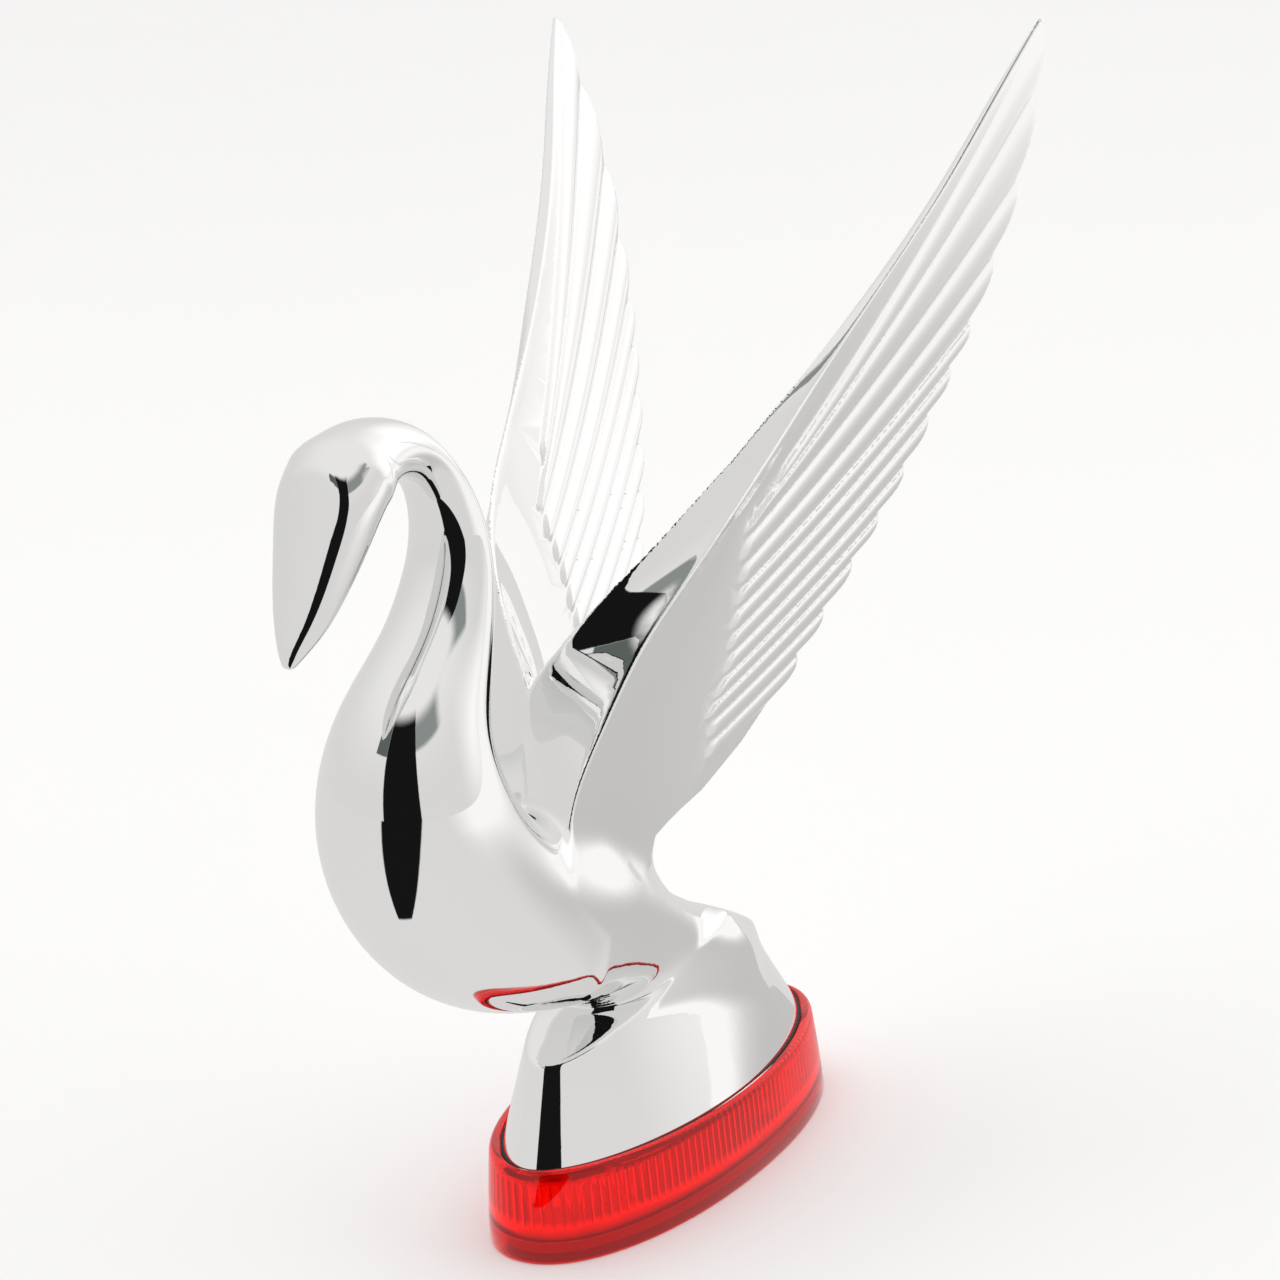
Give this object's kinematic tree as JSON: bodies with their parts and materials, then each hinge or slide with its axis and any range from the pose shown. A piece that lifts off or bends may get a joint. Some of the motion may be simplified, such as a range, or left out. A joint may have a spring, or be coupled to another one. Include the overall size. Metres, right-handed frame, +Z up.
{
  "type": "hood ornament",
  "caption": "Chrome swan with raised feathered wings on a flared oval pedestal, over a red fluted lamp lens with a closed screw-on base.",
  "frame": {"origin": "middle of the base's underside, on the plane the ornament stands on", "axes": "+Z up, the swan faces -Y, its left side is +X, the two halves mirror across X = 0"},
  "size_m": [0.1112, 0.1803, 0.2096],
  "materials": {
    "chrome": "bright chrome plating on a polished zinc casting",
    "red_lens": "clear red acrylic, polished outside, fluted inside",
    "black_rubber": "matt moulded rubber",
    "pad_rubber": "fine-celled sponge rubber",
    "zinc_plate": "zinc-plated steel sheet",
    "brass": "turned or pressed brass",
    "screw_steel": "zinc-plated steel",
    "reflector_aluminium": "bright anodised sheet",
    "black_plastic": "moulded nylon",
    "bulb_glass": "clear blown glass",
    "bulb_wire": "drawn wire"
  },
  "bodies": {
    "root": {"swan_casting": "chrome", "lens": "red_lens", "lens_gasket": "black_rubber", "base_plate": "zinc_plate", "base_pad": "pad_rubber", "front_insert": "brass", "rear_insert": "brass", "cover_screws": "screw_steel", "reflector": "reflector_aluminium", "lamp_bracket": "zinc_plate", "bracket_rivets": "screw_steel", "bulb_holder": "black_plastic", "holder_contact_upper": "brass", "holder_contact_lower": "brass", "bulb_glass": "bulb_glass", "bulb_leads": "bulb_wire", "bulb_filament": "bulb_wire", "wire_grommet": "black_rubber", "earth_tab": "brass", "earth_rivet": "screw_steel"}
  },
  "joints": []
}
